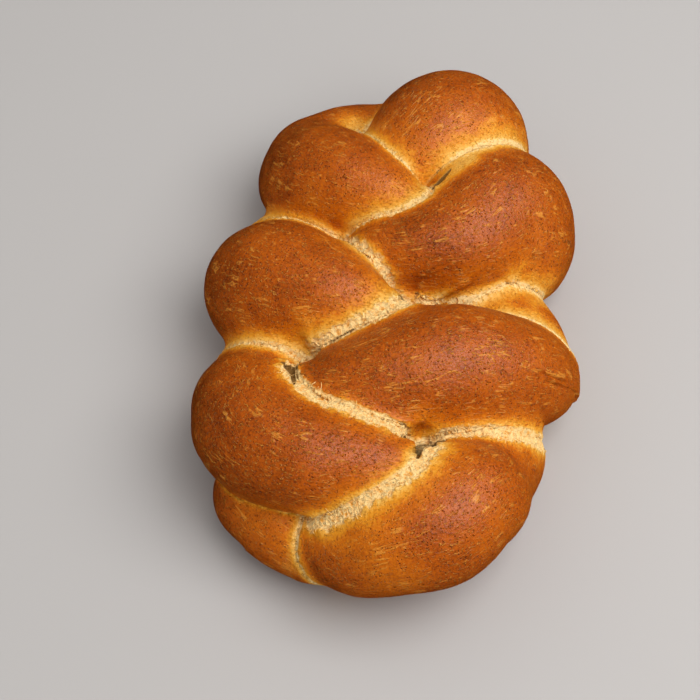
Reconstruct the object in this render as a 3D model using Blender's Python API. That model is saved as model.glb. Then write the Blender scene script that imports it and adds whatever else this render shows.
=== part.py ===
"""Three-strand braided loaf, baked in one piece and resting on its flat base.

Frame: metres, +Z up, +Y towards the far end, origin at the centre of the base.
Each strand of dough is a chain of round sections that climbs over one neighbour and dives
under the next. The chains are fused into one solid, its skin is settled onto the smooth
union of the sections, and the bottom is cut flat where the loaf sat on the baking tray.
"""
import math

import bmesh
import bpy
import numpy as np
from mathutils import Matrix

MM = 0.001

# Driving dimensions, in metres
LOAF_LENGTH = 280 * MM      # along Y, end to end
CREASE_ROUNDING = 4 * MM    # how softly two lobes run into each other
BASE_ROUNDING = 8 * MM      # how softly the sides turn into the base
BASE_CUT = 0.3 * MM         # dough planed off the bottom to leave it flat

# Fineness of the solid
SECTION_STEP = 4 * MM       # spacing of the round sections along a strand
SKIN_VOXEL = 2.2 * MM       # cell size when the sections are fused
SETTLE_ROUNDS = 4           # passes that settle the skin onto the dough surface
SETTLE_REACH = 20 * MM      # the furthest a point may move in one pass
TRIANGLES = 9000            # triangles left in the finished solid

# The plait, strand by strand from the far end to the near end. A knot gives the section's
# place and radius in millimetres: (across, along, height, radius). The lobes are the
# stretches that show on top.
FIRST_STRAND = {
    "far_right_lobe": [
        (42, 107, 24, 25), (36, 104, 38, 30), (25, 100, 46, 37), (12, 89, 50, 30), (1, 82, 49, 22),
        (-6, 79, 44, 13)],
    "under_left_lobes": [(0, 80, 30, 26), (-30, 52, 26, 30), (-57, 30, 24, 28)],
    "middle_left_lobe": [
        (-60, 19, 26, 28), (-54, 11, 42, 34), (-34, 1, 55, 27.5), (-17, -5, 62, 17.5),
        (-4, -9, 66, 9), (3, -11, 67, 4)],
    "under_middle_right": [(0, -10, 30, 24), (30, -46, 26, 27), (50, -64, 25, 25)],
    "near_right_lobe": [
        (47.5, -68, 26, 22), (43, -90, 40, 25.5), (37, -98, 48, 27.5), (27, -109, 49, 28.5),
        (10, -116.5, 46, 25.5), (-5, -118.5, 38, 22.5), (-16, -113, 32, 21)],
}
SECOND_STRAND = {
    "far_left_end": [(-4, 121, 22, 16), (-17, 115, 27, 18), (-28, 104, 32, 22), (-40, 92, 34, 25)],
    "far_left_lobe": [
        (-46, 84, 28, 24), (-37, 74, 44, 29), (-25, 66, 54, 26.5), (-12, 59, 60, 20.5),
        (-2, 54, 63, 15), (8, 50, 65, 10), (16, 48, 65, 6.5), (20, 47, 64, 4)],
    "under_upper_right": [(10, 60, 28, 24), (34, 22, 29, 25), (52, 9, 27, 22)],
    "right_shoulder": [(54, 8, 28, 22), (61, -6, 30, 24), (68, -20, 30, 22)],
    "middle_right_lobe": [
        (78, -24, 28, 13), (69, -26.5, 34, 22), (54, -30.5, 46, 27.5), (29, -36, 56, 30.5),
        (6, -44.5, 60, 25.5), (-16, -48, 62, 16.5), (-30, -48.5, 62, 8), (-36, -49, 61, 3.5)],
    "under_near_left": [(-25, -46, 30, 26), (-42, -70, 26, 28), (-53, -88, 22, 24)],
    "near_left_end": [(-54, -88, 22, 22), (-43, -102, 24, 21), (-29, -110, 22, 19)],
}
THIRD_STRAND = {
    "under_far_right": [(2, 112, 22, 26), (30, 88, 26, 30), (52, 66, 28, 30)],
    "upper_right_heel": [(58, 50, 29, 29.5), (58, 44, 37, 28)],
    "upper_right_lobe": [
        (56, 57, 28, 33), (52, 58, 40, 36), (46, 54.5, 48, 34.5), (35, 38, 55, 27.5),
        (21, 31, 58, 22.5), (8, 28, 58, 18.5), (-2, 28.5, 57, 15.5), (-8, 29.5, 55, 12)],
    "under_middle_left": [(-8, 32, 34, 26), (-38, -10, 28, 30), (-60, -40, 26, 27)],
    "near_left_lobe": [
        (-65, -56, 26, 25), (-62, -52, 40, 27), (-55, -73, 52, 28), (-36, -85, 58, 25),
        (-22, -87, 60, 22), (-7, -88, 62, 17), (8, -88.5, 62, 11.5), (15, -88, 62, 9),
        (17, -88, 61, 6)],
    "under_near_right": [(10, -86, 34, 26), (-2, -104, 23, 25)],
}
# Dough pressed together below and between the strands
MIDDLE = {
    "core": [(2, 94, 20, 32), (0, 40, 18, 32), (4, 0, 18, 32), (0, -40, 18, 32), (0, -88, 18, 30)],
    "base_left": [
        (-8, 102, 10, 26), (-28, 76, 10, 28), (-30, 30, 10, 30), (-32, -10, 10, 30),
        (-34, -50, 10, 30), (-24, -90, 10, 26)],
    "base_right": [
        (26, 98, 10, 28), (32, 70, 10, 30), (32, 30, 10, 30), (38, -14, 10, 30),
        (32, -56, 10, 30), (14, -94, 10, 25)],
}

CRUST_COLOR = (0.42, 0.13, 0.022, 1.0)
CRUST_ROUGHNESS = 0.45


def sections_along(knots):
    """Round sections (x, y, z, radius) on a smooth curve through the knots, in metres."""
    knots = np.array(knots, dtype=float) * MM
    before, after = 2 * knots[0] - knots[1], 2 * knots[-1] - knots[-2]
    points = np.vstack([before, knots, after])
    sections = []
    for p0, p1, p2, p3 in zip(points, points[1:], points[2:], points[3:]):
        count = max(1, math.ceil(np.linalg.norm((p2 - p1)[:3]) / SECTION_STEP))
        for t in np.arange(count) / count:
            sections.append(0.5 * (2 * p1 + (p2 - p0) * t
                                   + (2 * p0 - 5 * p1 + 4 * p2 - p3) * t ** 2
                                   + (3 * p1 - p0 - 3 * p2 + p3) * t ** 3))
    sections.append(knots[-1])
    return np.array(sections)


def fused_sections(name, chains):
    """One closed mesh around every section, all of them balls of dough pressed together."""
    bm = bmesh.new()
    for chain in chains:
        for x, y, z, radius in chain:
            bmesh.ops.create_icosphere(bm, subdivisions=2, radius=radius,
                                       matrix=Matrix.Translation((x, y, z)))
    mesh = bpy.data.meshes.new(name)
    bm.to_mesh(mesh)
    bm.free()
    loaf = bpy.data.objects.new(name, mesh)
    bpy.context.scene.collection.objects.link(loaf)
    fuse = loaf.modifiers.new("fuse", "REMESH")
    fuse.mode = "VOXEL"
    fuse.voxel_size = SKIN_VOXEL
    apply_modifier(loaf, fuse)
    return loaf


def apply_modifier(obj, modifier):
    bpy.context.view_layer.objects.active = obj
    bpy.ops.object.modifier_apply(modifier=modifier.name)


def distance_to_chain(points, chain):
    """Signed distance from each point to a chain of sections, and the way outwards."""
    nearest = np.full(len(points), np.inf)
    outwards = np.zeros_like(points)
    for x, y, z, radius in chain:
        offset = points - (x, y, z)
        length = np.linalg.norm(offset, axis=1)
        closer = length - radius < nearest
        nearest[closer] = (length - radius)[closer]
        outwards[closer] = offset[closer] / length[closer][:, None]
    return nearest, outwards


def blend(near, far, rounding):
    """Smooth union of two (distance, outwards) pairs, the first of them the nearer one."""
    share = np.clip(0.5 + 0.5 * (far[0] - near[0]) / rounding, 0, 1)
    distance = far[0] * (1 - share) + near[0] * share - rounding * share * (1 - share)
    outwards = far[1] * (1 - share)[:, None] + near[1] * share[:, None]
    return distance, outwards


def dough_surface(points, chains):
    """Signed distance to the dough, with creases between lobes and a flat bottom."""
    measured = [distance_to_chain(points, chain) for chain in chains]
    distances = np.array([distance for distance, _ in measured])
    directions = np.array([outwards for _, outwards in measured])
    order = np.argsort(distances, axis=0)
    every = np.arange(len(points))
    first, second, third = [(distances[rank, every], directions[rank, every]) for rank in order[:3]]
    distance, outwards = blend(first, blend(second, third, CREASE_ROUNDING), CREASE_ROUNDING)
    above = np.clip(0.5 + 0.5 * (distance + points[:, 2]) / BASE_ROUNDING, 0, 1)
    down = np.array((0.0, 0.0, -1.0))
    bulge = BASE_ROUNDING * above * (1 - above)
    distance = distance * above - points[:, 2] * (1 - above) + bulge
    outwards = outwards * above[:, None] + down * (1 - above)[:, None]
    return distance, outwards


def settle_skin(mesh, chains):
    """Move the mesh's points onto the dough surface."""
    points = np.empty(len(mesh.vertices) * 3, dtype=np.float32)
    mesh.vertices.foreach_get("co", points)
    points = points.reshape(-1, 3).astype(float)
    for _ in range(SETTLE_ROUNDS):
        distance, outwards = dough_surface(points, chains)
        slope = np.maximum((outwards ** 2).sum(axis=1), 0.3)
        step = np.clip(-distance / slope, -SETTLE_REACH, SETTLE_REACH)
        points += outwards * step[:, None]
    mesh.vertices.foreach_set("co", points.astype(np.float32).ravel())
    mesh.update()


def reduce_triangles(loaf):
    triangulate = loaf.modifiers.new("triangles", "TRIANGULATE")
    apply_modifier(loaf, triangulate)
    decimate = loaf.modifiers.new("decimate", "DECIMATE")
    decimate.ratio = TRIANGLES / len(loaf.data.polygons)
    apply_modifier(loaf, decimate)


def cut_base_flat(mesh):
    """Plane the bottom off at one height and close it with flat faces."""
    bm = bmesh.new()
    bm.from_mesh(mesh)
    whole = bm.verts[:] + bm.edges[:] + bm.faces[:]
    bmesh.ops.bisect_plane(bm, geom=whole, plane_co=(0, 0, BASE_CUT), plane_no=(0, 0, 1),
                           clear_inner=True)
    rim = [edge for edge in bm.edges if edge.is_boundary]
    bmesh.ops.triangle_fill(bm, use_beauty=True, use_dissolve=False, edges=rim, normal=(0, 0, -1))
    bmesh.ops.recalc_face_normals(bm, faces=bm.faces[:])
    bm.to_mesh(mesh)
    bm.free()


def stand_at_origin(mesh):
    """Scale to the driving length and put the middle of the base at the origin."""
    corners = np.array([vertex.co for vertex in mesh.vertices])
    low, high = corners.min(axis=0), corners.max(axis=0)
    middle = (low + high) / 2
    scale = LOAF_LENGTH / (high[1] - low[1])
    mesh.transform(Matrix.Scale(scale, 4) @ Matrix.Translation((-middle[0], -middle[1], -low[2])))


def crust_material():
    material = bpy.data.materials.new("crust")
    material.use_nodes = True
    shader = material.node_tree.nodes["Principled BSDF"]
    shader.inputs["Base Color"].default_value = CRUST_COLOR
    shader.inputs["Roughness"].default_value = CRUST_ROUGHNESS
    return material


def build_loaf():
    runs = {**FIRST_STRAND, **SECOND_STRAND, **THIRD_STRAND, **MIDDLE}
    chains = [sections_along(knots) for knots in runs.values()]
    loaf = fused_sections("loaf", chains)
    settle_skin(loaf.data, chains)
    reduce_triangles(loaf)
    cut_base_flat(loaf.data)
    stand_at_origin(loaf.data)
    loaf.data.materials.append(crust_material())
    loaf.data.shade_smooth()
    return loaf


def main():
    for obj in list(bpy.data.objects):
        bpy.data.objects.remove(obj)
    build_loaf()


main()
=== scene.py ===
"""Looks of the braided loaf: its egg-washed crust, the torn pale seams and the studio around it."""

import itertools
import math

import bmesh
import bpy
import numpy as np
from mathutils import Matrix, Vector, noise
from mathutils.bvhtree import BVHTree


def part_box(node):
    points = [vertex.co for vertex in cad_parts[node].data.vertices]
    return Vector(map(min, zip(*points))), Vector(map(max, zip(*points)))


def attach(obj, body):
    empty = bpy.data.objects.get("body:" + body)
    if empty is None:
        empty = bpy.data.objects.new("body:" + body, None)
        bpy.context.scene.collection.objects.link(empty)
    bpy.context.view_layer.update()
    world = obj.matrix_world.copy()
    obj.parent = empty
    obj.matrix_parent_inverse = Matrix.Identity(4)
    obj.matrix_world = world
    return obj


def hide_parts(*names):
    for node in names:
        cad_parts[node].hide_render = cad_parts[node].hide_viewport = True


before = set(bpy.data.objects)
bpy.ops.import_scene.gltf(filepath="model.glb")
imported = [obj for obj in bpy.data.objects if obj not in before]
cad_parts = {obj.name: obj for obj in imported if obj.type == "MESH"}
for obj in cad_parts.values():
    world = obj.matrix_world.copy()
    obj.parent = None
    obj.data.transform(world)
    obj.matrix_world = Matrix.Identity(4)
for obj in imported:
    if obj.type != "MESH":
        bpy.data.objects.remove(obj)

bl_info = {
    "name": "Braided Loaf",
    "version": (1, 0, 0),
    "blender": (4, 5, 0),
    "location": "3D View > Sidebar > Braided Loaf",
    "description": "Models a three-strand braided loaf with a browned crust and torn seams",
    "category": "Add Mesh",
}

MM = 0.001
NODE = "loaf"

# The plait, strand by strand from the far end to the near end, as in the solid. A knot gives
# a section's place and radius in millimetres: (across, along, height, radius).
STRANDS = {
    "first": {
        "far_right_lobe": [
            (42, 107, 24, 25), (36, 104, 38, 30), (25, 100, 46, 37), (12, 89, 50, 30),
            (1, 82, 49, 22), (-6, 79, 44, 13)],
        "under_left_lobes": [(0, 80, 30, 26), (-30, 52, 26, 30), (-57, 30, 24, 28)],
        "middle_left_lobe": [
            (-60, 19, 26, 28), (-54, 11, 42, 34), (-34, 1, 55, 27.5), (-17, -5, 62, 17.5),
            (-4, -9, 66, 9), (3, -11, 67, 4)],
        "under_middle_right": [(0, -10, 30, 24), (30, -46, 26, 27), (50, -64, 25, 25)],
        "near_right_lobe": [
            (47.5, -68, 26, 22), (43, -90, 40, 25.5), (37, -98, 48, 27.5), (27, -109, 49, 28.5),
            (10, -116.5, 46, 25.5), (-5, -118.5, 38, 22.5), (-16, -113, 32, 21)],
    },
    "second": {
        "far_left_end": [(-4, 121, 22, 16), (-17, 115, 27, 18), (-28, 104, 32, 22), (-40, 92, 34, 25)],
        "far_left_lobe": [
            (-46, 84, 28, 24), (-37, 74, 44, 29), (-25, 66, 54, 26.5), (-12, 59, 60, 20.5),
            (-2, 54, 63, 15), (8, 50, 65, 10), (16, 48, 65, 6.5), (20, 47, 64, 4)],
        "under_upper_right": [(10, 60, 28, 24), (34, 22, 29, 25), (52, 9, 27, 22)],
        "right_shoulder": [(54, 8, 28, 22), (61, -6, 30, 24), (68, -20, 30, 22)],
        "middle_right_lobe": [
            (78, -24, 28, 13), (69, -26.5, 34, 22), (54, -30.5, 46, 27.5), (29, -36, 56, 30.5),
            (6, -44.5, 60, 25.5), (-16, -48, 62, 16.5), (-30, -48.5, 62, 8), (-36, -49, 61, 3.5)],
        "under_near_left": [(-25, -46, 30, 26), (-42, -70, 26, 28), (-53, -88, 22, 24)],
        "near_left_end": [(-54, -88, 22, 22), (-43, -102, 24, 21), (-29, -110, 22, 19)],
    },
    "third": {
        "under_far_right": [(2, 112, 22, 26), (30, 88, 26, 30), (52, 66, 28, 30)],
        "upper_right_heel": [(58, 50, 29, 29.5), (58, 44, 37, 28)],
        "upper_right_lobe": [
            (56, 57, 28, 33), (52, 58, 40, 36), (46, 54.5, 48, 34.5), (35, 38, 55, 27.5),
            (21, 31, 58, 22.5), (8, 28, 58, 18.5), (-2, 28.5, 57, 15.5), (-8, 29.5, 55, 12)],
        "under_middle_left": [(-8, 32, 34, 26), (-38, -10, 28, 30), (-60, -40, 26, 27)],
        "near_left_lobe": [
            (-65, -56, 26, 25), (-62, -52, 40, 27), (-55, -73, 52, 28), (-36, -85, 58, 25),
            (-22, -87, 60, 22), (-7, -88, 62, 17), (8, -88.5, 62, 11.5), (12, -88, 61.5, 9)],
        "under_near_right": [(10, -86, 34, 26), (-2, -104, 23, 25)],
    },
    "middle": {
        "core": [(2, 94, 20, 32), (0, 40, 18, 32), (4, 0, 18, 32), (0, -40, 18, 32), (0, -88, 18, 30)],
        "base_left": [
            (-8, 102, 10, 26), (-28, 76, 10, 28), (-30, 30, 10, 30), (-32, -10, 10, 30),
            (-34, -50, 10, 30), (-24, -90, 10, 26)],
        "base_right": [
            (26, 98, 10, 28), (32, 70, 10, 30), (32, 30, 10, 30), (38, -14, 10, 30),
            (32, -56, 10, 30), (14, -94, 10, 25)],
    },
}
# The lobes that show, each made of one or two runs of its strand
LOBES = {
    "far_right": ("far_right_lobe",),
    "far_left": ("far_left_lobe", "far_left_end"),
    "upper_right": ("upper_right_lobe", "upper_right_heel"),
    "middle_left": ("middle_left_lobe",),
    "middle_right": ("middle_right_lobe",),
    "shoulder": ("right_shoulder",),
    "near_left": ("near_left_lobe",),
    "near_right": ("near_right_lobe",),
    "near_left_end": ("near_left_end",),
}
# Each seam, as seen from its first lobe and from its second: how far that lobe's side tore
# open in the oven, then how far the pale colour spreads up that lobe, in mm
SEAMS = {
    ("far_right", "upper_right"): ((0.8, 15), (0.8, 7)),
    ("far_right", "far_left"): ((0.5, 11), (0.3, 4)),
    ("far_left", "upper_right"): ((0.5, 14), (2.0, 4)),
    ("far_left", "middle_left"): ((0.5, 14), (1.2, 7)),
    ("upper_right", "middle_left"): ((3.5, 7), (0.4, 12)),
    ("upper_right", "middle_right"): ((5.0, 8), (1.2, 2.5)),
    ("middle_left", "middle_right"): ((5.0, 13), (2.5, 4)),
    ("middle_left", "near_left"): ((1.0, 11), (1.5, 8)),
    ("middle_right", "near_left"): ((0.5, 2.5), (6.5, 6)),
    ("middle_right", "near_right"): ((0.5, 7), (5.0, 6)),
    ("near_left", "near_right"): ((1.0, 7), (5.5, 13)),
    ("near_left", "near_left_end"): ((0.0, 1), (0.0, 1.5)),
    ("near_right", "near_left_end"): ((1.5, 5), (0.8, 5)),
    ("upper_right", "shoulder"): ((0.6, 13), (0.5, 20)),
    ("middle_right", "shoulder"): ((0.3, 2), (0.3, 14)),
}
CLOSED_SEAM = (0.3, 5)

# Gaps where a lobe's tip meets its neighbours: the depth, and the gap's middle line from above
# as (across, along, half width), all in mm
GAPS = (
    (13, ((9, -76, 0.6), (17.5, -75.5, 2.8), (28, -73, 0.6))),
    (13, ((16.5, -78, 2.6), (15.5, -88, 0.4))),
    (2.2, ((-48, -39.2, 0.7), (-44, -41.5, 2.2), (-41, -53, 0.5))),
    (2.2, ((-44, -41, 1.6), (-40, -40.4, 0.5))),
    (5, ((3.5, -5.6, 0.4), (10.5, -4.5, 1.4), (17.5, -2.4, 0.4))),
    (2, ((17, 56, 0.5), (21, 60, 1.4), (25, 65, 0.5))),
)
# Places on a lobe that baked more, or less where the change is below 0, than the rest of it:
# the lobe, (across, along, height) and reach in mm, and the change
BAKED_PLACES = (
    ("upper_right", (21, 58, 74), 7, -0.9),
    ("upper_right", (27, 64, 76), 9, -0.9),
    ("upper_right", (33, 70, 77), 9, -0.9),
    ("upper_right", (41, 79, 74), 8, -0.7),
    ("far_left", (-22, 103, 53), 15, -0.8),
    ("upper_right", (8, 32, 72), 20, 0.1),
    ("upper_right", (24, 3, 54), 9, -1.0),
    ("upper_right", (12, 2, 58), 8, -0.8),
    ("middle_left", (-38, -24, 59), 18, -0.45),
    ("middle_left", (-5, -3, 74), 12, -0.35),
    ("middle_right", (17, -70, 66), 13, -0.4),
    ("near_left", (14, -88, 71), 9, -0.8),
    ("near_right", (-8, -120, 64), 22, -0.3),
    # The next two places lighten faces turned to the near left, taking back part of the painted side
    # shade there
    ("near_right", (10, -138, 55), 18, -0.25),
    ("near_left_end", (-50, -108, 36), 24, -0.25),
    ("far_left", (-46, 55, 50), 18, 0.2),
    ("far_right", (17, 68, 66), 14, 0.2),
)
# Splits in the crust where the middle right lobe turns under, as (across, along, height) in mm
SPLITS = [
    [(61, -42, 72), (72, -41, 63), (79, -38, 54), (88, -32, 37), (90, -31, 28)],
    [(63, -39, 73), (73, -38, 63), (81, -35, 53)],
]


def linear(hex_color):
    """An sRGB hex colour as linear RGBA."""
    parts = [int(hex_color[i:i + 2], 16) / 255 for i in (1, 3, 5)]
    return [c / 12.92 if c <= 0.04045 else ((c + 0.055) / 1.055) ** 2.4 for c in parts] + [1.0]


def size(name, default, description, smallest=0.0):
    return bpy.props.FloatProperty(name=name, default=default, min=smallest, unit="LENGTH",
                                   description=description)


def colour(name, default, description):
    return bpy.props.FloatVectorProperty(name=name, default=linear(default), size=4, min=0, max=1,
                                         subtype="COLOR", description=description)


class DoughSizes(bpy.types.PropertyGroup):
    skin_cell: size("Skin cell", 1.95 * MM, "Cell of the loaf's surface mesh", 0.5 * MM)
    section_step: size("Section step", 2.5 * MM, "Spacing of the sections along a strand", MM)
    crease: size("Crease", 2 * MM, "How softly two lobes meet in a closed seam")
    torn_crease: size("Torn crease", 18 * MM, "How softly two lobes meet in the widest torn seam")
    bend_crease: size("Bend crease", 7 * MM, "How softly a lobe's own runs meet where it bends")
    base_rounding: size("Base rounding", 8 * MM, "How softly the sides turn into the base")
    base_cut: size("Base cut", 0.3 * MM, "Dough planed off the bottom to leave it flat")
    unevenness: size("Unevenness", 1.4 * MM, "Height of the swells left by hand shaping")
    torn_depth: size("Torn depth", 0.9 * MM, "Depth of a torn seam below the crust beside it")
    floor_smoothing: bpy.props.IntProperty(name="Floor smoothing", default=100, min=0, max=200,
                                           description="Rounds of smoothing of the torn seams' floors")
    torn_relief: size("Torn relief", 0.6 * MM, "Height of the lumps of crumb in a torn seam")
    web_cell: size("Web cell", 2.6 * MM, "Cell of the web of crumb in a torn seam", 0.5 * MM)
    web_height: size("Web height", 0.5 * MM, "Height of the web's walls")
    lip_height: size("Lip height", 0.45 * MM, "Height of the crust's curled edge at a seam")
    crevice_depth: size("Crevice depth", 1.2 * MM, "Depth of the dark line in a closed seam")
    split_depth: size("Split depth", 1.1 * MM, "Depth of the splits in the crust")
    thread_radius: size("Thread radius", 0.2 * MM, "Radius of the stretched threads of crumb")
    thread_spacing: size("Thread spacing", 2.2 * MM, "Least distance between two threads")


class CrustColors(bpy.types.PropertyGroup):
    crumb: colour("Crumb", "#f1cd8a", "Bare crumb in the torn seams")
    cream: colour("Cream", "#eab14e", "Skin that hardly browned")
    golden: colour("Golden", "#de8f1c", "Skin just off the seam")
    orange: colour("Orange", "#cc6c0c", "Flanks of the lobes")
    brown: colour("Brown", "#ad4f07", "Crowns of the lobes")
    dark: colour("Dark", "#6e2a03", "The most baked patches")
    fleck: colour("Fleck", "#eca03c", "Tiny blisters in the egg wash")
    hollow: colour("Hollow", "#7f561f", "Shaded dough inside the gaps")
    underside: colour("Underside", "#a05a22", "The base, baked on the tray")


class StudioSettings(bpy.types.PropertyGroup):
    azimuth: bpy.props.FloatProperty(name="Azimuth", default=math.radians(3.3), subtype="ANGLE",
                                     description="Camera's turn round the loaf")
    elevation: bpy.props.FloatProperty(name="Elevation", default=math.radians(60),
                                       subtype="ANGLE", description="Camera's height above level")
    distance: size("Distance", 0.84, "Camera's distance from its target")
    lens: bpy.props.FloatProperty(name="Lens", default=90, min=10, description="Focal length in mm")
    key_power: bpy.props.FloatProperty(name="Key power", default=15, min=0, unit="POWER",
                                       description="Power of the soft key light")
    key_size: size("Key size", 1.05, "Side of the soft key light")
    glaze_power: bpy.props.FloatProperty(name="Glaze power", default=52, min=0, unit="POWER",
                                         description="Power of the light that the glaze mirrors")
    glaze_size: size("Glaze size", 0.75, "Side of the light that the glaze mirrors")
    fill: bpy.props.FloatProperty(name="Fill", default=0.6, min=0, description="Sky brightness")
    paper: colour("Paper", "#b1adaa", "The pale surface that the loaf lies on")


# ---------------------------------------------------------------------------------------------
# The dough: chains of round sections, and the surface that they make

class Dough:
    """Every run's sections, the surface round them, and the seams between the lobes."""

    def __init__(self, sizes):
        self.sizes = sizes
        runs = {name: knots for strand in STRANDS.values() for name, knots in strand.items()}
        names = list(runs)
        self.chains = [self.sections_along(knots) for knots in runs.values()]
        self.lobes = [[names.index(run) for run in lobe] for lobe in LOBES.values()]
        self.lobe_of = np.array([next((number for number, runs in enumerate(self.lobes) if run in runs),
                                      -1 - run) for run in range(len(names))])
        self.floor = 0.0
        self.seam_table = self.read_seams()

    def sections_along(self, knots):
        """Round sections (x, y, z, radius) on a smooth curve through the knots, in metres."""
        knots = np.array(knots, dtype=float) * MM
        before, after = 2 * knots[0] - knots[1], 2 * knots[-1] - knots[-2]
        points = np.vstack([before, knots, after])
        sections = []
        for p0, p1, p2, p3 in zip(points, points[1:], points[2:], points[3:]):
            count = max(1, math.ceil(np.linalg.norm((p2 - p1)[:3]) / self.sizes.section_step))
            for t in np.arange(count) / count:
                sections.append(0.5 * (2 * p1 + (p2 - p0) * t
                                       + (2 * p0 - 5 * p1 + 4 * p2 - p3) * t ** 2
                                       + (3 * p1 - p0 - 3 * p2 + p3) * t ** 3))
        sections.append(knots[-1])
        return np.array(sections)

    def read_seams(self):
        """Torn width and fade on the first of every two lobes, in metres."""
        lobes = list(LOBES)
        table = np.empty((len(lobes), len(lobes), 2))
        table[:] = CLOSED_SEAM
        for (one, other), (side, other_side) in SEAMS.items():
            table[lobes.index(one), lobes.index(other)] = side
            table[lobes.index(other), lobes.index(one)] = other_side
        return table * MM

    def move(self, shift):
        self.chains = [chain + np.append(shift, 0.0) for chain in self.chains]
        self.floor += shift[2]

    def measure(self, points):
        """Distances, outward directions and nearest sections of every chain, for each point."""
        distances = np.empty((len(self.chains), len(points)))
        outwards = np.empty((len(self.chains), len(points), 3))
        nearest = np.empty((len(self.chains), len(points)), dtype=int)
        squares = (points ** 2).sum(axis=1)[:, None]
        for i, chain in enumerate(self.chains):
            centres, radii = chain[:, :3], chain[:, 3]
            reach = squares - 2 * points @ centres.T + (centres ** 2).sum(axis=1)
            nearest[i] = (np.sqrt(np.maximum(reach, 0)) - radii).argmin(axis=1)
            offset = points - centres[nearest[i]]
            length = np.linalg.norm(offset, axis=1)
            distances[i] = length - radii[nearest[i]]
            outwards[i] = offset / np.maximum(length, 1e-9)[:, None]
        return distances, outwards, nearest

    def lobe_measures(self, points):
        """Distance, outward direction, chain and section of each lobe, for each point."""
        distances, outwards, nearest = self.measure(points)
        every = np.arange(len(points))
        found = []
        for runs in self.lobes:
            run = np.array(runs)[distances[runs].argmin(axis=0)]
            found.append((distances[run, every], outwards[run, every], run, nearest[run, every]))
        return [np.stack(values) for values in zip(*found)]

    def surface(self, points):
        """Signed distance to the dough and the way outwards, with creases and a flat bottom."""
        distances, outwards, _ = self.measure(points)
        lobes = np.stack([distances[runs].min(axis=0) for runs in self.lobes])
        order = np.argsort(lobes, axis=0)
        every = np.arange(len(points))
        width = self.seam_table[order[0], order[1], 0] + self.seam_table[order[1], order[0], 0]
        corner = lobes[order[2], every] - lobes[order[0], every]
        crease = self.sizes.crease + (self.sizes.torn_crease - self.sizes.crease) * (
            np.clip(width / (8 * MM), 0, 1) * ease(corner, 2 * MM, 12 * MM))
        order = np.argsort(distances, axis=0)
        same = self.lobe_of[order[0]] == self.lobe_of[order[1]]
        crease = np.where(same, np.maximum(crease, self.sizes.bend_crease), crease)
        first, second, third = [(distances[rank, every], outwards[rank, every]) for rank in order[:3]]
        distance, way = blend(first, blend(second, third, crease), crease)
        height = points[:, 2] - self.floor
        above = np.clip(0.5 + 0.5 * (distance + height) / self.sizes.base_rounding, 0, 1)
        bulge = self.sizes.base_rounding * above * (1 - above)
        distance = distance * above - height * (1 - above) + bulge
        way = way * above[:, None] + np.array((0.0, 0.0, -1.0)) * (1 - above)[:, None]
        return distance, way

    def settle(self, points, rounds):
        """Moves points onto the dough surface."""
        for _ in range(rounds):
            distance, way = self.surface(points)
            slope = np.maximum((way ** 2).sum(axis=1), 0.3)
            points = points + way * np.clip(-distance / slope, -0.02, 0.02)[:, None]
        return points

    def seams(self, points, normals):
        """Each seam's distance from every point, with its half width and its fade there."""
        distances, outwards, _, _ = self.lobe_measures(points)
        every = np.arange(len(points))
        own = distances.argmin(axis=0)
        across = outwards - outwards[own, every]
        across -= (across * normals).sum(axis=2)[:, :, None] * normals
        slope = np.maximum(np.linalg.norm(across, axis=2), 0.4)
        away = (distances - distances[own, every]) / slope
        away[own, every] = 1.0
        return away, self.seam_table[own, :, 0].T, self.seam_table[own, :, 1].T, across


def blend(near, far, rounding):
    """Smooth union of two (distance, outwards) pairs, the first of them the nearer one."""
    share = np.clip(0.5 + 0.5 * (far[0] - near[0]) / rounding, 0, 1)
    distance = far[0] * (1 - share) + near[0] * share - rounding * share * (1 - share)
    way = far[1] * (1 - share)[:, None] + near[1] * share[:, None]
    return distance, way


def ease(values, low, high):
    """0 below low, 1 above high, and a smooth step between them."""
    t = np.clip((values - low) / (high - low), 0, 1)
    return t * t * (3 - 2 * t)


def grain(points, cell, offset=0.0):
    """Smooth noise from about -1 to 1, with cells of the given size."""
    return np.array([noise.noise(point) for point in (points / cell + offset).tolist()])


# ---------------------------------------------------------------------------------------------
# Mesh helpers

def deselect_all():
    bpy.ops.object.select_all(action="DESELECT")


def activate(obj):
    deselect_all()
    obj.select_set(True)
    bpy.context.view_layer.objects.active = obj


def apply_modifier(obj, kind, **settings):
    activate(obj)
    bpy.ops.object.modifier_add(type=kind)
    modifier = obj.modifiers[-1]
    for name, value in settings.items():
        setattr(modifier, name, value)
    bpy.ops.object.modifier_apply(modifier=modifier.name)


def read_points(mesh):
    points = np.empty(len(mesh.vertices) * 3, dtype=np.float32)
    mesh.vertices.foreach_get("co", points)
    return points.reshape(-1, 3).astype(float)


def write_points(mesh, points):
    mesh.vertices.foreach_set("co", points.astype(np.float32).ravel())
    mesh.update()


def read_normals(mesh):
    normals = np.empty(len(mesh.vertices) * 3, dtype=np.float32)
    mesh.vertex_normals.foreach_get("vector", normals)
    return normals.reshape(-1, 3).astype(float)


def store(mesh, name, values):
    """Keeps one value or vector for each vertex."""
    kind, field = ("FLOAT", "value") if values.ndim == 1 else ("FLOAT_VECTOR", "vector")
    attribute = mesh.attributes.new(name, kind, "POINT")
    attribute.data.foreach_set(field, values.astype(np.float32).ravel())


def stored(mesh, name):
    attribute = mesh.attributes[name]
    field, columns = ("value", 1) if attribute.data_type == "FLOAT" else ("vector", 3)
    values = np.empty(len(mesh.vertices) * columns, dtype=np.float32)
    attribute.data.foreach_get(field, values)
    return values.reshape(-1, columns).squeeze().astype(float)


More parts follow.
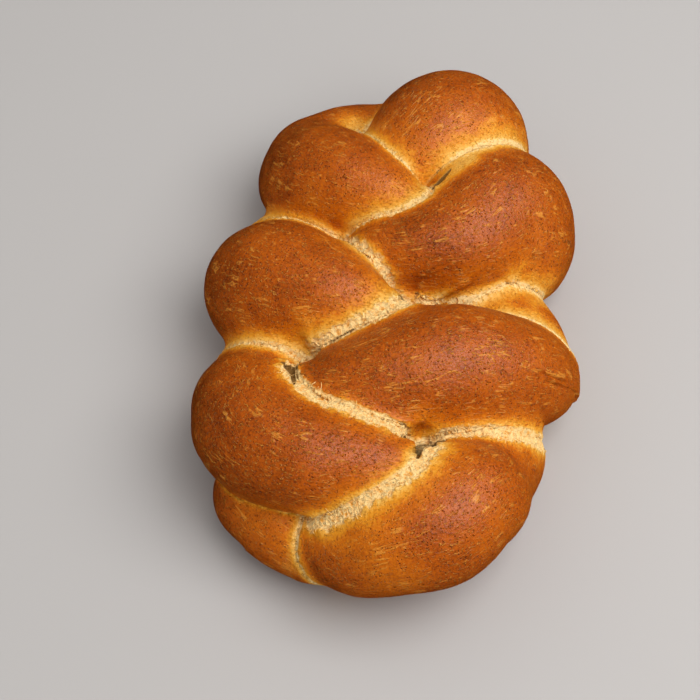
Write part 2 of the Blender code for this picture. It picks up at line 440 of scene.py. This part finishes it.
def weigh(obj, name, weights):
    """A vertex group with a weight for each vertex."""
    group = obj.vertex_groups.new(name=name)
    levels = np.round(np.clip(weights, 0, 1) * 20).astype(int)
    for level in range(1, 21):
        chosen = np.flatnonzero(levels == level)
        if len(chosen):
            group.add(chosen.tolist(), level / 20, "REPLACE")
    return group.name


# ---------------------------------------------------------------------------------------------
# The bread

class LOAF_OT_bread(bpy.types.Operator):
    """Shapes the braided dough, tears its seams and marks how far each part baked"""
    bl_idname = "loaf.bread"
    bl_label = "Bread"

    def execute(self, context):
        sizes = context.scene.loaf_dough
        dough = Dough(sizes)
        bread = press_sections(dough)
        mesh = bread.data
        write_points(mesh, dough.settle(read_points(mesh), 4))
        stand_on_node(mesh, dough)
        refine_details(bread, dough)
        write_points(mesh, dough.settle(read_points(mesh), 2))
        points, normals = read_points(mesh), read_normals(mesh)
        baked = bake(points, normals, dough)
        baked["gap"], sunk = gap_shares(points)
        baked["web"] = web_of(points, baked["band"] > 0.1, sizes.web_cell) * baked["band"]
        strand = strand_coordinates(points, dough)
        swell(bread, sizes)
        tear_seams(bread, baked, sizes)
        points = read_points(mesh)
        points[:, 2] -= sunk
        write_points(mesh, points)
        split_crust(mesh, sizes)
        for name, values in baked.items():
            store(mesh, name, values)
        store(mesh, "strand", strand)
        cut_base(bread)
        mesh.materials.clear()
        mesh.materials.append(crust_material(context.scene.loaf_crust))
        activate(bread)
        bpy.ops.object.shade_smooth()
        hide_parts(NODE)
        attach(bread, "root")
        return {"FINISHED"}


def press_sections(dough):
    """Balls of dough along every strand, pressed together into one skin."""
    deselect_all()
    bread = None
    for chain in dough.chains:
        for x, y, z, radius in chain[::3]:
            place = (x, y, z) if bread else (0, 0, 0)
            bpy.ops.mesh.primitive_ico_sphere_add(subdivisions=3, radius=radius, location=place)
            if bread is None:
                bread = bpy.context.object
                bread.name = "bread"
                bpy.ops.object.mode_set(mode="EDIT")
                bpy.ops.transform.translate(value=(x, y, z))
    bpy.ops.object.mode_set(mode="OBJECT")
    apply_modifier(bread, "REMESH", mode="VOXEL", voxel_size=dough.sizes.skin_cell)
    return bread


def stand_on_node(mesh, dough):
    """Puts the bread, and the dough that it follows, where the solid stands."""
    points = read_points(mesh)
    low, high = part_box(NODE)
    shift = np.array((low + high) / 2) - (points.min(axis=0) + points.max(axis=0)) / 2
    shift[2] = low.z - dough.floor - dough.sizes.base_cut
    write_points(mesh, points + shift)
    dough.move(shift)


def refine_details(bread, dough):
    """Cuts the faces finer along the seams and at the splits, and once more in the torn bands."""
    for least_width, margin, reach in ((0, 1.8 * MM, 4 * MM), (1.2 * MM, 0.3 * MM, 1.5 * MM)):
        points = read_points(bread.data)
        away, width, _, _ = dough.seams(points, read_normals(bread.data))
        fine = ((away < width + margin) & (width >= least_width)).any(axis=0)
        fine &= points[:, 2] > 30 * MM
        for path in SPLITS:
            fine |= path_measures(points, path)[0] < reach
        for distance, _ in gap_edges(points):
            fine |= (abs(distance) < 1.6 * MM) & (points[:, 2] > 40 * MM)
        cut_finer(bread.data, fine)


def cut_finer(mesh, fine):
    """Halves the edges between the chosen vertices."""
    bm = bmesh.new()
    bm.from_mesh(mesh)
    edges = [edge for edge in bm.edges if fine[edge.verts[0].index] and fine[edge.verts[1].index]]
    bmesh.ops.subdivide_edges(bm, edges=edges, cuts=1, use_grid_fill=True)
    bmesh.ops.triangulate(bm, faces=[face for face in bm.faces if len(face.verts) > 4])
    bm.to_mesh(mesh)
    bm.free()


def bake(points, normals, dough):
    """How far each point browned, its part in a torn band, and its distance from a seam."""
    away, width, fade, across = dough.seams(points, normals)
    high = ease(points[:, 2], 20 * MM, 34 * MM)
    ragged = 1 + 0.5 * grain(points, 3.5 * MM) + 0.3 * grain(points, 1.4 * MM, 5.0)
    width = width * ragged
    fade = fade * (1 + 0.45 * grain(points, 5 * MM, 9.0) + 0.3 * grain(points, 12 * MM, 3.0))
    near, far = np.clip((away - width) / fade, 0, 1), ease(away - width, 0, 2.6 * fade)
    browned = (0.62 * near ** 0.85 + 0.38 * far).min(axis=0)
    nearest = away.argmin(axis=0)
    every = np.arange(len(points))
    edge = away[nearest, every]
    width = width[nearest, every]
    owner = list(LOBES)
    own = dough.lobe_measures(points)[0].argmin(axis=0)
    for lobe, place, reach, change in BAKED_PLACES:
        near_place = 1 - ease(np.linalg.norm(points - np.array(place) * MM, axis=1), 0.3 * reach * MM,
                              1.2 * reach * MM)
        near_place = near_place * (own == owner.index(lobe))
        browned = np.maximum(browned + change * near_place * (browned if change < 0 else 1), 0)
    torn = ease(width, 0.6 * MM, 1.4 * MM) * high
    band = (1 - ease(edge, width - 0.7 * MM, width + 0.5 * MM)) * torn
    opened = dough.seam_table[own, nearest, 0] + dough.seam_table[nearest, own, 0]
    opened = ease(opened, 2 * MM, 4 * MM) * high
    band = np.maximum(band, opened * (1 - ease(edge, 0.8 * MM, 1.6 * MM)))
    lip = np.exp(-((edge - width - 0.9 * MM) / (0.8 * MM)) ** 2) * high
    crevice = np.exp(-(edge / (0.6 * MM)) ** 2) * high * (1 - torn) * (1 - opened)
    crevice *= ease(grain(points, 9 * MM, 2.0), -0.35, 0.1)
    return {"browned": browned, "band": band, "lip": lip, "crevice": crevice, "edge": edge,
            "width": width, "across": across[nearest, every],
            # painted_side_shade: painted shade on faces turned to -x, away from the key light, and
            # painted light on faces turned to +x, towards it
            "painted_side_shade": ease(-normals[:, 0], 0.1, 0.8) - 0.6 * ease(normals[:, 0], 0.2, 0.9)}


def strand_coordinates(points, dough):
    """Distance along the nearest lobe and round it, in metres, and which lobe it is."""
    distances, _, runs, sections = dough.lobe_measures(points)
    own = distances.argmin(axis=0)
    every = np.arange(len(points))
    run, section = runs[own, every], sections[own, every]
    result = np.zeros((len(points), 3))
    result[:, 2] = own * 0.4
    for index in np.unique(run):
        here = np.flatnonzero(run == index)
        centres = dough.chains[index][:, :3]
        travelled = np.concatenate([[0], np.cumsum(np.linalg.norm(np.diff(centres, axis=0), axis=1))])
        tangents = np.gradient(centres, axis=0)
        tangents /= np.linalg.norm(tangents, axis=1)[:, None]
        way = tangents[section[here]]
        offset = points[here] - centres[section[here]]
        side = np.cross(way, (0.0, 0.0, 1.0))
        side /= np.maximum(np.linalg.norm(side, axis=1), 1e-6)[:, None]
        above = np.cross(side, way)
        angle = np.arctan2((offset * side).sum(axis=1), (offset * above).sum(axis=1))
        result[here, 0] = travelled[section[here]] + (offset * way).sum(axis=1)
        result[here, 1] = angle * 28 * MM
    return result


def swell(bread, sizes):
    """Gentle swells from hand shaping, left out where the loaf meets the table."""
    points = read_points(bread.data)
    group = weigh(bread, "above_base", ease(points[:, 2], 4 * MM, 20 * MM))
    for cell, height in ((38 * MM, sizes.unevenness), (11 * MM, sizes.unevenness * 0.3)):
        texture = bpy.data.textures.new("swells", "CLOUDS")
        texture.noise_scale = cell
        texture.noise_depth = 1
        apply_modifier(bread, "DISPLACE", texture=texture, strength=height, mid_level=0.5,
                       vertex_group=group, texture_coords="LOCAL")


def tear_seams(bread, baked, sizes):
    """Torn bands of lumpy crumb with a curled edge of crust, and crevices in closed seams."""
    mesh = bread.data
    floors = weigh(bread, "torn_floors", baked["band"])
    apply_modifier(bread, "SMOOTH", factor=0.5, iterations=sizes.floor_smoothing, vertex_group=floors)
    height = (sizes.lip_height * baked["lip"] - sizes.torn_depth * baked["band"]
              - sizes.crevice_depth * baked["crevice"] + sizes.web_height * baked["web"])
    write_points(mesh, read_points(mesh) + read_normals(mesh) * height[:, None])
    lumps = weigh(bread, "lumps", baked["band"])
    for cell, height in ((2.8 * MM, sizes.torn_relief), (1.4 * MM, sizes.torn_relief * 0.6)):
        texture = bpy.data.textures.new("crumb_lumps", "CLOUDS")
        texture.noise_scale = cell
        texture.noise_type = "HARD_NOISE"
        apply_modifier(bread, "DISPLACE", texture=texture, strength=height, mid_level=0.4,
                       vertex_group=lumps, texture_coords="LOCAL")


def web_of(points, chosen, cell):
    """1 on the walls between irregular cells and 0 inside them, at the chosen points."""
    web = np.zeros(len(points))
    for index in np.flatnonzero(chosen):
        place = Vector(points[index] / cell)
        near, far = noise.voronoi(place + 0.35 * noise.noise_vector(place * 0.8))[0][:2]
        web[index] = far - near
    return np.where(chosen, 1 - ease(web, 0.03, 0.22), 0)


def path_measures(points, path):
    """Distance to a path of mm knots, the way from it, and the share of it travelled."""
    path = np.array(path, dtype=float)[:, :3] * MM
    best = np.full(len(points), 1.0)
    way = np.zeros((len(points), 3))
    share = np.zeros(len(points))
    for i, (start, end) in enumerate(zip(path, path[1:])):
        run = end - start
        t = np.clip(((points - start) @ run) / (run @ run), 0, 1)
        offset = points - start - t[:, None] * run
        distance = np.linalg.norm(offset, axis=1)
        closer = distance < best
        best[closer] = distance[closer]
        way[closer] = offset[closer]
        share[closer] = (i + t[closer]) / (len(path) - 1)
    return best, way, share


def gap_edges(points):
    """Distance of each point from the edge of every gap, below 0 inside, and the gap's depth."""
    flat = points * (1, 1, 0)
    for depth, path in GAPS:
        distance, _, share = path_measures(flat, [(x, y, 0) for x, y, _ in path])
        half_width = np.interp(share, np.linspace(0, 1, len(path)), [knot[2] for knot in path]) * MM
        yield distance - half_width, depth * MM * np.clip(half_width / (1.5 * MM), 0, 1)


def gap_shares(points):
    """How far inside a gap each point is, from 0 to 1, and how deep it sinks."""
    inside, sunk = np.zeros(len(points)), np.zeros(len(points))
    high = points[:, 2] > 40 * MM
    for distance, depth in gap_edges(points):
        inside = np.maximum(inside, (1 - ease(distance, -0.1 * MM, 0.5 * MM)) * high)
        sunk = np.maximum(sunk, (1 - ease(distance, -0.6 * MM, 0.3 * MM)) * high * depth)
    return inside, sunk


def split_crust(mesh, sizes):
    """Splits with one raised lip, where the crust cracked as the lobe swelled."""
    points = read_points(mesh)
    normals = read_normals(mesh)
    for path in SPLITS:
        distance, way, share = path_measures(points, path)
        side = way[:, 1]
        fade = ease(share, 0, 0.3)
        groove = np.exp(-(distance / (0.7 * MM)) ** 2) * fade
        lip = np.exp(-(distance / (4 * MM)) ** 2) * ease(side, -0.2 * MM, 0.5 * MM) * share
        drop = np.exp(-(distance / (5 * MM)) ** 2) * ease(-side, -0.2 * MM, 0.5 * MM) * share
        points += normals * (sizes.split_depth * (0.9 * lip - 0.8 * drop - groove))[:, None]
    write_points(mesh, points)


def cut_base(bread):
    """Planes the bottom off flat, at the height of the solid's base."""
    activate(bread)
    bpy.ops.object.mode_set(mode="EDIT")
    bpy.ops.mesh.select_all(action="SELECT")
    bpy.ops.mesh.bisect(plane_co=(0, 0, 0), plane_no=(0, 0, 1), use_fill=True, clear_inner=True)
    bpy.ops.object.mode_set(mode="OBJECT")


# ---------------------------------------------------------------------------------------------
# Threads of crumb across the torn seams

class LOAF_OT_crumb_threads(bpy.types.Operator):
    """Stretches thin threads of crumb across the torn seams"""
    bl_idname = "loaf.crumb_threads"
    bl_label = "Crumb threads"

    def execute(self, context):
        sizes = context.scene.loaf_dough
        bread = bpy.data.objects["bread"]
        threads = draw_threads(bread, thread_roots(bread.data, sizes), sizes)
        threads.data.materials.append(crumb_material(context.scene.loaf_crust))
        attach(threads, "root")
        return {"FINISHED"}


def thread_roots(mesh, sizes):
    """Vertices along the middle of the torn seams, set apart from each other."""
    points = read_points(mesh)
    chosen = np.flatnonzero((stored(mesh, "band") > 0.9) & (stored(mesh, "gap") < 0.05)
                            & (stored(mesh, "width") > 2.5 * MM))
    spacing = sizes.thread_spacing
    taken = {}
    for index in np.random.default_rng(7).permutation(chosen):
        x, y, z = np.floor(points[index] / spacing).astype(int)
        around = [taken[cell] for cell in itertools.product(*((c - 1, c, c + 1) for c in (x, y, z)))
                  if cell in taken]
        if all(np.linalg.norm(points[other] - points[index]) > spacing for other in around):
            taken[x, y, z] = index
    return np.array(list(taken.values()))


def draw_threads(bread, roots, sizes):
    """One curve with a tapered spline for each thread, laid on the bread and made a mesh."""
    mesh = bread.data
    skin = BVHTree.FromObject(bread, bpy.context.evaluated_depsgraph_get())
    random = np.random.default_rng(11)
    places, normals = read_points(mesh)[roots], read_normals(mesh)[roots]
    ways, widths = stored(mesh, "across")[roots], stored(mesh, "width")[roots]
    ways -= (ways * normals).sum(axis=1)[:, None] * normals
    ways /= np.maximum(np.linalg.norm(ways, axis=1), 1e-6)[:, None]
    angle = 1.6 * grain(places, 6 * MM) + random.normal(0, 0.5, len(roots))
    sides = np.cross(normals, ways)
    ways = ways * np.cos(angle)[:, None] + sides * np.sin(angle)[:, None]
    sides = np.cross(normals, ways)
    deselect_all()
    bpy.ops.curve.primitive_bezier_curve_add(location=(0, 0, 0))
    threads = bpy.context.object
    threads.name = "crumb_threads"
    curve = threads.data
    curve.splines.clear()
    curve.dimensions = "3D"
    curve.bevel_depth = sizes.thread_radius
    curve.bevel_resolution = 1
    curve.use_fill_caps = True
    for place, normal, way, side, width in zip(places, normals, ways, sides, widths):
        reach = width * random.uniform(0.25, 0.5)
        start, bend = random.normal(0, 0.2, 2)
        path = []
        for step in np.linspace(-1, 1, 9):
            spot = place + reach * (way * (step + start) + side * bend * step ** 2)
            hit, facing, _, _ = skin.ray_cast(Vector(spot + normal * 4 * MM), Vector(-normal), 12 * MM)
            if hit:
                path.append((*(hit + facing * (0.08 - 0.35 * step ** 4) * MM), 1.0))
        if len(path) > 4:
            spline = curve.splines.new("POLY")
            spline.points.add(len(path) - 1)
            spline.points.foreach_set("co", np.array(path).ravel())
            taper = 1 - 0.6 * np.linspace(-1, 1, len(path)) ** 2
            spline.points.foreach_set("radius", taper * random.uniform(0.6, 1.3))
    activate(threads)
    bpy.ops.object.convert(target="MESH")
    bpy.ops.object.shade_smooth()
    return threads


# ---------------------------------------------------------------------------------------------
# Materials

def add_node(tree, kind, inputs=None, **settings):
    """One node with its settings, and its inputs set or linked."""
    node = tree.nodes.new(kind)
    for name, value in settings.items():
        setattr(node, name, value)
    for name, value in (inputs or {}).items():
        if isinstance(value, bpy.types.NodeSocket):
            tree.links.new(value, node.inputs[name])
        else:
            node.inputs[name].default_value = value
    return node


def new_material(name):
    material = bpy.data.materials.new(name)
    material.use_nodes = True
    return material, material.node_tree, material.node_tree.nodes["Principled BSDF"]


def per_metre(millimetres):
    """Scale of a pattern whose cells measure that many millimetres."""
    return 1 / (millimetres * MM)


def crust_material(colors):
    """Egg-washed bread crust: a thin browned skin, softly glossy where the wash set, full of
    fine squiggling blisters and pores, fading through golden to bare crumb in the seams."""
    material, tree, shader = new_material("baked_egg_washed_crust")
    place = add_node(tree, "ShaderNodeTexCoord").outputs["Object"]
    browned = add_node(tree, "ShaderNodeAttribute", attribute_name="browned").outputs["Fac"]
    band = add_node(tree, "ShaderNodeAttribute", attribute_name="band").outputs["Fac"]
    edge = add_node(tree, "ShaderNodeAttribute", attribute_name="edge").outputs["Fac"]
    gap = add_node(tree, "ShaderNodeAttribute", attribute_name="gap").outputs["Fac"]
    web = add_node(tree, "ShaderNodeAttribute", attribute_name="web").outputs["Fac"]
    painted_side_shade = add_node(tree, "ShaderNodeAttribute", attribute_name="painted_side_shade").outputs["Fac"]
    strand = add_node(tree, "ShaderNodeAttribute", attribute_name="strand").outputs["Vector"]

    def noise_of(cell, detail=2.0, vector=place, roughness=0.5):
        return add_node(tree, "ShaderNodeTexNoise", {
            "Vector": vector, "Scale": per_metre(cell), "Detail": detail,
            "Roughness": roughness}).outputs["Fac"]

    def maths(operation, one, other=0.0):
        node = add_node(tree, "ShaderNodeMath", {0: one, 1: other}, operation=operation)
        return node.outputs["Value"]

    def remap(value, low, high, new_low=0.0, new_high=1.0):
        return add_node(tree, "ShaderNodeMapRange", {
            "Value": value, "From Min": low, "From Max": high, "To Min": new_low,
            "To Max": new_high}, interpolation_type="SMOOTHSTEP").outputs["Result"]

    def mix(factor, one, other):
        return add_node(tree, "ShaderNodeMix", {
            "Factor": factor, 6: one, 7: other}, data_type="RGBA").outputs[2]

    def stretched(along, around):
        return add_node(tree, "ShaderNodeMapping", {
            "Vector": strand, "Scale": (along, around, 1.0)}).outputs["Vector"]

    def squiggles(cell, thickness, vector, where):
        """Thin winding lines: a contour of one noise, kept only where another is high."""
        contour = maths("ABSOLUTE", maths("SUBTRACT", noise_of(cell, 1.5, vector), 0.5))
        line = maths("SUBTRACT", 1.0, remap(contour, 0.0, thickness))
        return maths("MULTIPLY", line, where)

    # Browning grows with the distance from the seam and drifts over the crowns
    grain = noise_of(1.3, 3, roughness=0.7)
    level = maths("ADD", maths("MULTIPLY", browned, 0.74), remap(edge, 0.0, 20 * MM, 0.0, 0.04))
    # Painted side shade: faces turned away from the key light come out darker, faces turned towards it
    # lighter
    level = maths("ADD", level, maths("MULTIPLY", painted_side_shade, 0.1))
    for value, amount in ((noise_of(26, 2), 0.3), (noise_of(6, 3), 0.25), (grain, 0.8)):
        drift = maths("MULTIPLY", maths("SUBTRACT", value, 0.5), amount)
        level = maths("ADD", level, maths("MULTIPLY", drift, remap(browned, 0.0, 0.6, 0.3, 1.0)))
    ramp = add_node(tree, "ShaderNodeValToRGB", {"Fac": level})
    stops = ((0.0, colors.crumb), (0.06, colors.cream), (0.19, colors.golden),
             (0.42, colors.orange), (0.74, colors.brown), (1.0, colors.dark))
    elements = ramp.color_ramp.elements
    elements[0].position, elements[0].color = stops[0]
    elements[1].position, elements[1].color = stops[-1]
    for position, value in stops[1:-1]:
        elements.new(position).color = value
    skin = ramp.outputs["Color"]

    # Pits where gas broke the skin, close together, bumped in and with painted shade dark inside them,
    # and thin dark winding lines
    pitted = add_node(tree, "ShaderNodeTexVoronoi", {"Vector": place, "Scale": per_metre(1.35)})
    pits = maths("SUBTRACT", 1.0, remap(pitted.outputs["Distance"], 0.12, 0.36))
    pits = maths("MULTIPLY", pits, remap(noise_of(2.2, 2), 0.44, 0.56))
    worms = squiggles(1.7, 0.05, place, remap(noise_of(4, 2), 0.46, 0.56))
    pit_shade_and_dark_lines = maths("MAXIMUM", maths("MULTIPLY", pits, 0.85), maths("MULTIPLY", worms, 0.45))
    skin = mix(maths("MULTIPLY", pit_shade_and_dark_lines, remap(browned, 0.2, 0.7)), skin, colors.dark)

    # Tiny blisters: fine squiggles, and longer wrinkles drawn out along the strand
    flecks = squiggles(1.3, 0.04, stretched(0.42, 1.0), remap(noise_of(1.3, 2), 0.49, 0.58))
    wrinkles = squiggles(3.2, 0.04, stretched(0.22, 1.0), remap(noise_of(7, 2), 0.5, 0.62))
    flecks = maths("MAXIMUM", flecks, maths("MULTIPLY", wrinkles, 0.8))
    skin = mix(maths("MULTIPLY", flecks, 0.62), skin, colors.fleck)

    # Bare crumb in the torn bands: a pale web with golden hollows between
    hollow = maths("ADD", maths("MULTIPLY", web, 0.6), remap(noise_of(3, 3), 0.3, 0.6, 0.1, 0.9))
    skin = mix(band, skin, mix(hollow, colors.golden, colors.crumb))
    # Painted shade: the inside of each gap is coloured as dark, shaded dough
    skin = mix(maths("MULTIPLY", gap, 0.95), skin, colors.hollow)

    # The base is evenly browned by the tray
    height = add_node(tree, "ShaderNodeSeparateXYZ", {"Vector": place}).outputs["Z"]
    below = maths("SUBTRACT", 1.0, remap(height, 0.0, 2 * MM))
    skin = mix(maths("MULTIPLY", below, 0.8), skin, colors.underside)

    relief = maths("ADD", maths("MULTIPLY", flecks, 0.6), maths("MULTIPLY", grain, 1.2))
    relief = maths("SUBTRACT", relief, pits)
    bump = add_node(tree, "ShaderNodeBump", {
        "Height": relief, "Distance": 0.38 * MM, "Strength": 1.0})
    tree.links.new(bump.outputs["Normal"], shader.inputs["Normal"])
    tree.links.new(skin, shader.inputs["Base Color"])
    tree.links.new(remap(level, 0.0, 0.6, 0.6, 0.34), shader.inputs["Roughness"])
    shader.inputs["Specular IOR Level"].default_value = 0.1
    return material


def crumb_material(colors):
    """Bare wheat crumb: pale, dry and matt."""
    material, tree, shader = new_material("torn_wheat_crumb")
    place = add_node(tree, "ShaderNodeTexCoord").outputs["Object"]
    drift = add_node(tree, "ShaderNodeTexNoise", {
        "Vector": place, "Scale": per_metre(4), "Detail": 2.0}).outputs["Fac"]
    pale = add_node(tree, "ShaderNodeMix", {
        "Factor": drift, 6: colors.crumb, 7: colors.cream}, data_type="RGBA")
    tree.links.new(pale.outputs[2], shader.inputs["Base Color"])
    shader.inputs["Roughness"].default_value = 0.8
    return material


def paper_material(color):
    """Smooth studio paper: matt, without grain at this distance."""
    material, tree, shader = new_material("pale_studio_paper")
    shader.inputs["Base Color"].default_value = color
    shader.inputs["Roughness"].default_value = 0.9
    return material


# ---------------------------------------------------------------------------------------------
# The studio

class LOAF_OT_stage(bpy.types.Operator):
    """Adds the floor, the soft light and the camera"""
    bl_idname = "loaf.stage"
    bl_label = "Stage"

    def execute(self, context):
        studio = context.scene.loaf_studio
        deselect_all()
        bpy.ops.mesh.primitive_plane_add(size=6)
        floor = context.object
        floor.name = "floor"
        floor.data.materials.append(paper_material(studio.paper))
        floor.visible_glossy = False
        key = add_light("key_light", (0.55, -0.2, 1.2), studio.key_size, studio.key_power)
        key.visible_glossy = False
        glaze = add_light("glaze_light", (0.62, -0.08, 1.17), studio.glaze_size, studio.glaze_power)
        glaze.visible_diffuse = False
        world = bpy.data.worlds.new("studio_sky")
        world.use_nodes = True
        world.node_tree.nodes["Background"].inputs["Color"].default_value = (1, 1, 1, 1)
        world.node_tree.nodes["Background"].inputs["Strength"].default_value = studio.fill
        context.scene.world = world
        world.cycles_visibility.glossy = False
        place_camera(context, studio)
        context.scene.view_settings.view_transform = "Standard"
        return {"FINISHED"}


def add_light(name, place, side, power):
    """A square soft box aimed at the loaf."""
    bpy.ops.object.light_add(type="AREA", location=place)
    light = bpy.context.object
    light.name = name
    light.data.size = side
    light.data.energy = power
    light.rotation_euler = (Vector((0, 0, 0.03)) - light.location).to_track_quat("-Z", "Y").to_euler()
    return light


def place_camera(context, studio):
    target = Vector((-18.7 * MM, -11 * MM, 30 * MM))
    back = Vector((math.sin(studio.azimuth) * math.cos(studio.elevation),
                   -math.cos(studio.azimuth) * math.cos(studio.elevation),
                   math.sin(studio.elevation)))
    bpy.ops.object.camera_add(location=target + back * studio.distance)
    camera = context.object
    camera.name = "camera"
    camera.data.lens = studio.lens
    camera.data.sensor_width = 36
    camera.rotation_euler = (-back).to_track_quat("-Z", "Y").to_euler()
    context.scene.camera = camera


class LOAF_PT_panel(bpy.types.Panel):
    """Lists the steps that make the loaf"""
    bl_label = "Braided Loaf"
    bl_idname = "LOAF_PT_panel"
    bl_space_type = "VIEW_3D"
    bl_region_type = "UI"
    bl_category = "Braided Loaf"

    def draw(self, context):
        layout = self.layout
        for group in (context.scene.loaf_dough, context.scene.loaf_crust, context.scene.loaf_studio):
            box = layout.box()
            for name in group.__annotations__:
                box.prop(group, name)
        for operator in OPERATORS:
            layout.operator(operator.bl_idname)


OPERATORS = (LOAF_OT_bread, LOAF_OT_crumb_threads, LOAF_OT_stage)
CLASSES = (DoughSizes, CrustColors, StudioSettings, *OPERATORS, LOAF_PT_panel)


def register():
    for cls in CLASSES:
        bpy.utils.register_class(cls)
    bpy.types.Scene.loaf_dough = bpy.props.PointerProperty(type=DoughSizes)
    bpy.types.Scene.loaf_crust = bpy.props.PointerProperty(type=CrustColors)
    bpy.types.Scene.loaf_studio = bpy.props.PointerProperty(type=StudioSettings)


def unregister():
    del bpy.types.Scene.loaf_studio
    del bpy.types.Scene.loaf_crust
    del bpy.types.Scene.loaf_dough
    for cls in reversed(CLASSES):
        bpy.utils.unregister_class(cls)


def main():
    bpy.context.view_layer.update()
    register()
    bpy.ops.loaf.bread()
    bpy.ops.loaf.crumb_threads()
    bpy.ops.loaf.stage()


if __name__ == "__main__":
    main()
